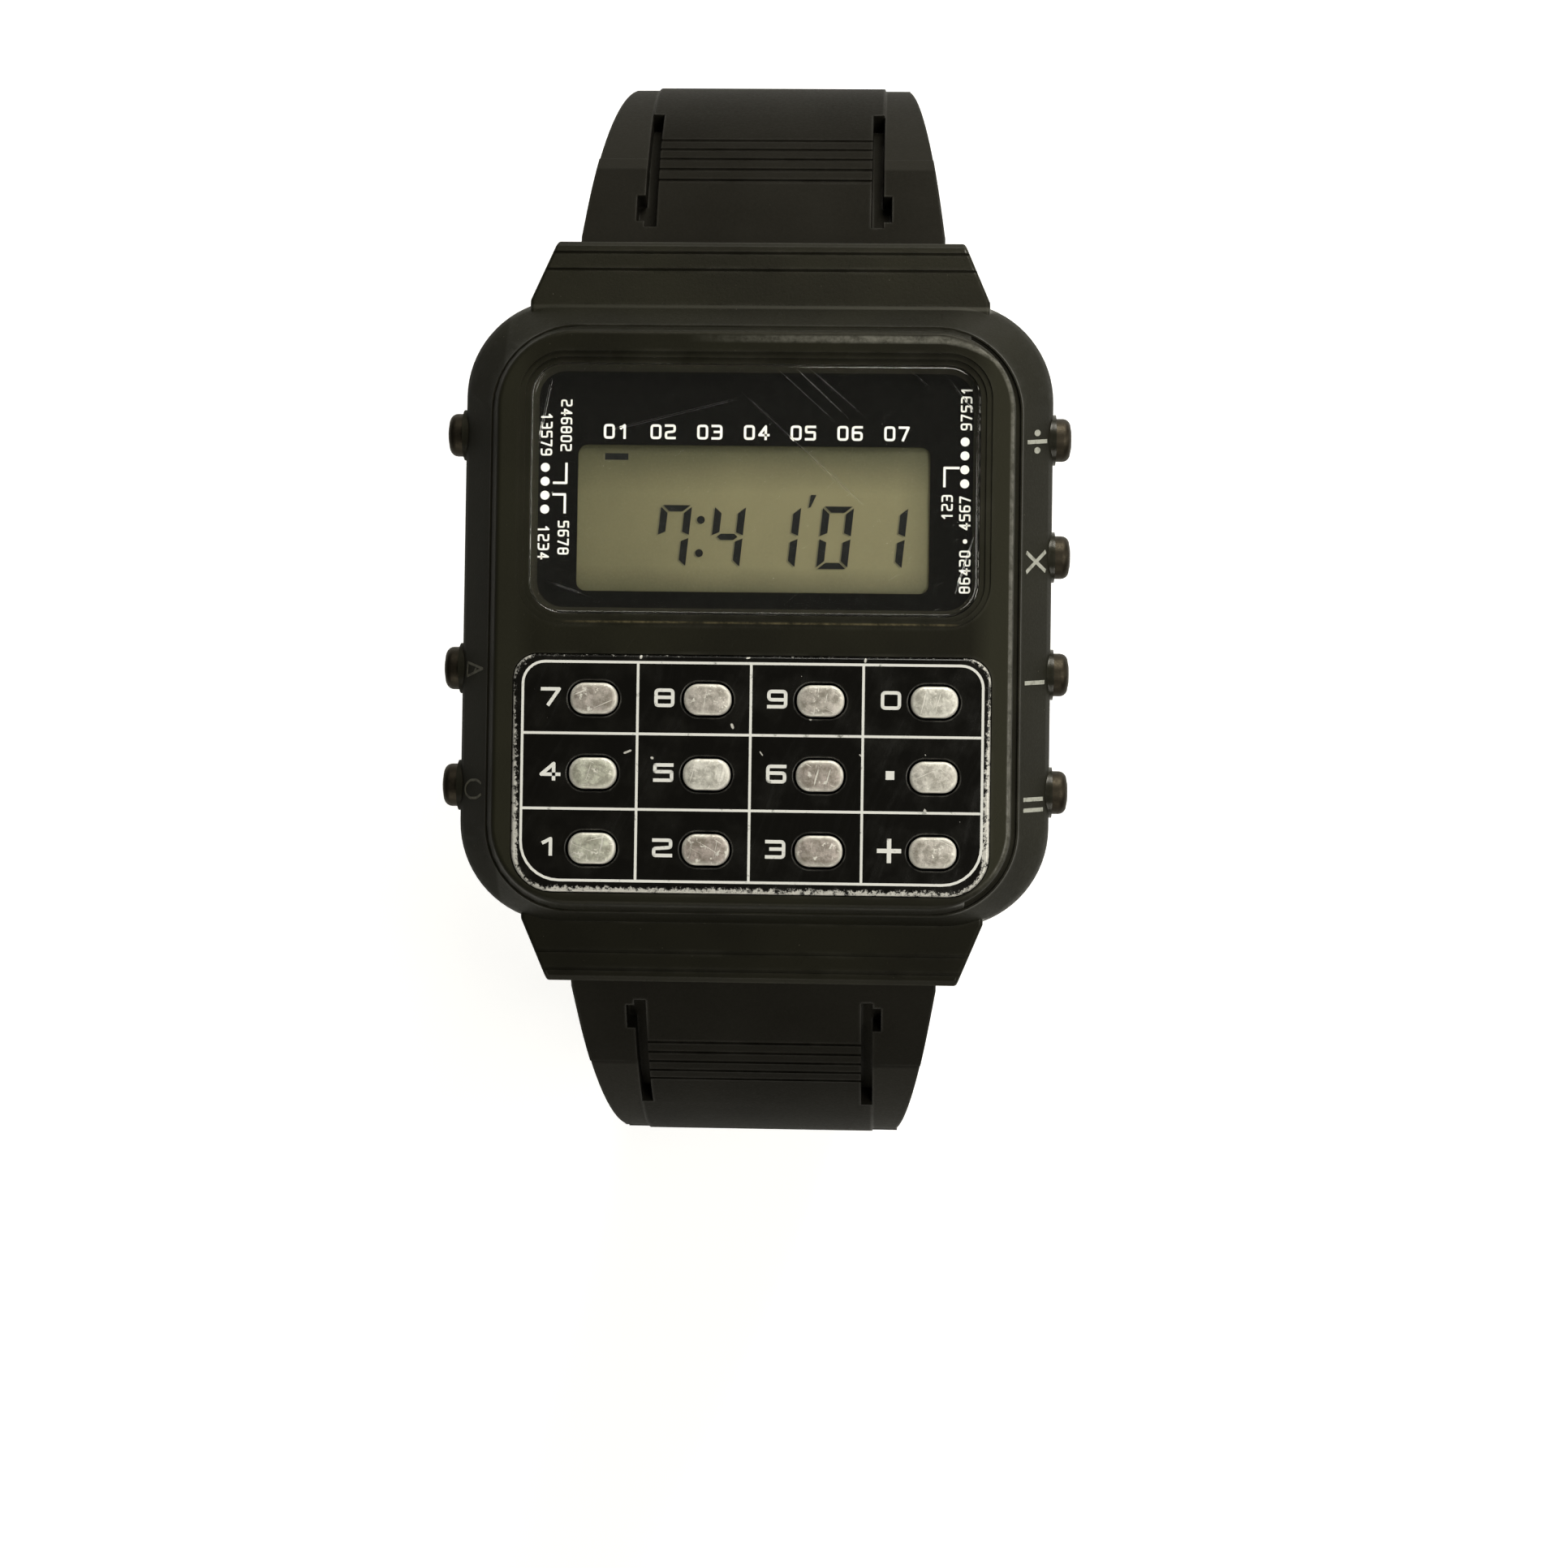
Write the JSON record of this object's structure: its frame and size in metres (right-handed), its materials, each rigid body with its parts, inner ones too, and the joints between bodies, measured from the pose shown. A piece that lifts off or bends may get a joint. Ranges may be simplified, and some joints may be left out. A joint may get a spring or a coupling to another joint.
{
  "type": "calculator watch",
  "caption": "Digital wristwatch with a calculator keypad under its display, side push buttons and a hinged resin strap with a pin buckle.",
  "frame": {"origin": "centre of the back cover's outer face, which lies on the wrist", "axes": "+Z out of the dial, +Y to 12 o'clock, +X to 3 o'clock"},
  "size_m": [0.037, 0.0678, 0.0707],
  "materials": {
    "case_resin": "moulded resin, worn glossy on the raised edge",
    "mineral_glass": "clear, fine scratches",
    "dial_print": "black print behind the glass",
    "display_cell": "grey-green liquid crystal panel",
    "soft_rubber": "matt",
    "keypad_lacquer": "gloss black lacquer, worn to metal at the edge",
    "module_plastic": "natural moulding",
    "board_laminate": "green solder mask",
    "chip_plastic": "moulded package",
    "bright_steel": "bright",
    "brass_parts": "gilt",
    "lamp_glass": "clear bulb",
    "brushed_cover": "brushed across",
    "key_metal": "satin, scratched",
    "button_metal": "dark plating",
    "strap_resin": "soft resin, slight sheen",
    "buckle_steel": "satin"
  },
  "bodies": {
    "case": {"case_shell": "case_resin", "display_glass": "mineral_glass", "dial_mask": "dial_print", "lcd_panel": "display_cell", "connector_strips": "soft_rubber", "keypad_plate": "keypad_lacquer", "key_mat": "soft_rubber", "module_frame": "module_plastic", "circuit_board": "board_laminate", "chips": "chip_plastic", "quartz_crystal": "bright_steel", "trimmer_capacitor": "brass_parts", "lamp": "lamp_glass", "battery_cells": "bright_steel", "battery_clamp": "bright_steel", "contact_springs": "brass_parts", "back_cover": "brushed_cover", "back_gasket": "soft_rubber", "back_screws": "bright_steel", "spring_bar_upper": "bright_steel", "spring_bar_lower": "bright_steel", "spring_right_1": "bright_steel", "spring_right_2": "bright_steel", "spring_right_3": "bright_steel", "spring_right_4": "bright_steel", "spring_left_1": "bright_steel", "spring_left_3": "bright_steel", "spring_left_4": "bright_steel"},
    "key_0_body": {"key_0": "key_metal"},
    "key_1_body": {"key_1": "key_metal"},
    "key_2_body": {"key_2": "key_metal"},
    "key_3_body": {"key_3": "key_metal"},
    "key_4_body": {"key_4": "key_metal"},
    "key_5_body": {"key_5": "key_metal"},
    "key_6_body": {"key_6": "key_metal"},
    "key_7_body": {"key_7": "key_metal"},
    "key_8_body": {"key_8": "key_metal"},
    "key_9_body": {"key_9": "key_metal"},
    "key_point_body": {"key_point": "key_metal"},
    "key_plus_body": {"key_plus": "key_metal"},
    "button_right_1_body": {"button_right_1": "button_metal", "clip_right_1": "bright_steel"},
    "button_right_2_body": {"button_right_2": "button_metal", "clip_right_2": "bright_steel"},
    "button_right_3_body": {"button_right_3": "button_metal", "clip_right_3": "bright_steel"},
    "button_right_4_body": {"button_right_4": "button_metal", "clip_right_4": "bright_steel"},
    "button_left_1_body": {"button_left_1": "button_metal", "clip_left_1": "bright_steel"},
    "button_left_3_body": {"button_left_3": "button_metal", "clip_left_3": "bright_steel"},
    "button_left_4_body": {"button_left_4": "button_metal", "clip_left_4": "bright_steel"},
    "strap_upper_body": {"strap_upper": "strap_resin", "buckle_bar": "buckle_steel"},
    "strap_lower_body": {"strap_lower": "strap_resin"},
    "buckle_body": {"buckle_frame": "buckle_steel"},
    "tongue_body": {"buckle_tongue": "buckle_steel"},
    "keeper_body": {"keeper_loop": "strap_resin"}
  },
  "joints": [
    {"name": "key_0_press", "type": "slide", "parent": "case", "child": "key_0_body", "axis": [0, 0, -1], "range_m": [0, 0.0003], "stiffness_N_per_m": 1500, "springref_m": -0.0001},
    {"name": "key_1_press", "type": "slide", "parent": "case", "child": "key_1_body", "axis": [0, 0, -1], "range_m": [0, 0.0003], "stiffness_N_per_m": 1500, "springref_m": -0.0001},
    {"name": "key_2_press", "type": "slide", "parent": "case", "child": "key_2_body", "axis": [0, 0, -1], "range_m": [0, 0.0003], "stiffness_N_per_m": 1500, "springref_m": -0.0001},
    {"name": "key_3_press", "type": "slide", "parent": "case", "child": "key_3_body", "axis": [0, 0, -1], "range_m": [0, 0.0003], "stiffness_N_per_m": 1500, "springref_m": -0.0001},
    {"name": "key_4_press", "type": "slide", "parent": "case", "child": "key_4_body", "axis": [0, 0, -1], "range_m": [0, 0.0003], "stiffness_N_per_m": 1500, "springref_m": -0.0001},
    {"name": "key_5_press", "type": "slide", "parent": "case", "child": "key_5_body", "axis": [0, 0, -1], "range_m": [0, 0.0003], "stiffness_N_per_m": 1500, "springref_m": -0.0001},
    {"name": "key_6_press", "type": "slide", "parent": "case", "child": "key_6_body", "axis": [0, 0, -1], "range_m": [0, 0.0003], "stiffness_N_per_m": 1500, "springref_m": -0.0001},
    {"name": "key_7_press", "type": "slide", "parent": "case", "child": "key_7_body", "axis": [0, 0, -1], "range_m": [0, 0.0003], "stiffness_N_per_m": 1500, "springref_m": -0.0001},
    {"name": "key_8_press", "type": "slide", "parent": "case", "child": "key_8_body", "axis": [0, 0, -1], "range_m": [0, 0.0003], "stiffness_N_per_m": 1500, "springref_m": -0.0001},
    {"name": "key_9_press", "type": "slide", "parent": "case", "child": "key_9_body", "axis": [0, 0, -1], "range_m": [0, 0.0003], "stiffness_N_per_m": 1500, "springref_m": -0.0001},
    {"name": "key_point_press", "type": "slide", "parent": "case", "child": "key_point_body", "axis": [0, 0, -1], "range_m": [0, 0.0003], "stiffness_N_per_m": 1500, "springref_m": -0.0001},
    {"name": "key_plus_press", "type": "slide", "parent": "case", "child": "key_plus_body", "axis": [0, 0, -1], "range_m": [0, 0.0003], "stiffness_N_per_m": 1500, "springref_m": -0.0001},
    {"name": "button_right_1_press", "type": "slide", "parent": "case", "child": "button_right_1_body", "axis": [-1, 0, 0], "range_m": [0, 0.0006], "stiffness_N_per_m": 1200, "springref_m": -0.0002, "deforming": ["spring_right_1"]},
    {"name": "button_right_2_press", "type": "slide", "parent": "case", "child": "button_right_2_body", "axis": [-1, 0, 0], "range_m": [0, 0.0006], "stiffness_N_per_m": 1200, "springref_m": -0.0002, "deforming": ["spring_right_2"]},
    {"name": "button_right_3_press", "type": "slide", "parent": "case", "child": "button_right_3_body", "axis": [-1, 0, 0], "range_m": [0, 0.0006], "stiffness_N_per_m": 1200, "springref_m": -0.0002, "deforming": ["spring_right_3"]},
    {"name": "button_right_4_press", "type": "slide", "parent": "case", "child": "button_right_4_body", "axis": [-1, 0, 0], "range_m": [0, 0.0006], "stiffness_N_per_m": 1200, "springref_m": -0.0002, "deforming": ["spring_right_4"]},
    {"name": "button_left_1_press", "type": "slide", "parent": "case", "child": "button_left_1_body", "axis": [1, 0, 0], "range_m": [0, 0.0006], "stiffness_N_per_m": 1200, "springref_m": -0.0002, "deforming": ["spring_left_1"]},
    {"name": "button_left_3_press", "type": "slide", "parent": "case", "child": "button_left_3_body", "axis": [1, 0, 0], "range_m": [0, 0.0006], "stiffness_N_per_m": 1200, "springref_m": -0.0002, "deforming": ["spring_left_3"]},
    {"name": "button_left_4_press", "type": "slide", "parent": "case", "child": "button_left_4_body", "axis": [1, 0, 0], "range_m": [0, 0.0006], "stiffness_N_per_m": 1200, "springref_m": -0.0002, "deforming": ["spring_left_4"]},
    {"name": "strap_upper_hinge", "type": "hinge", "parent": "case", "child": "strap_upper_body", "pos_m": [0, 0.0194, 0.0026], "axis": [1, 0, 0], "range_deg": [0, 20]},
    {"name": "strap_lower_hinge", "type": "hinge", "parent": "case", "child": "strap_lower_body", "pos_m": [0, -0.0194, 0.0026], "axis": [-1, 0, 0], "range_deg": [0, 35]},
    {"name": "buckle_hinge", "type": "hinge", "parent": "strap_upper_body", "child": "buckle_body", "pos_m": [0, 0.0195, -0.04694], "axis": [1, 0, 0], "range_deg": [-75, 20]},
    {"name": "tongue_hinge", "type": "hinge", "parent": "buckle_body", "child": "tongue_body", "pos_m": [0, 0.0195, -0.04694], "axis": [1, 0, 0], "range_deg": [0, 30]},
    {"name": "keeper_slide", "type": "slide", "parent": "strap_upper_body", "child": "keeper_body", "axis": [0, -0.5736, -0.8192], "range_m": [-0.002, 0.002]}
  ]
}
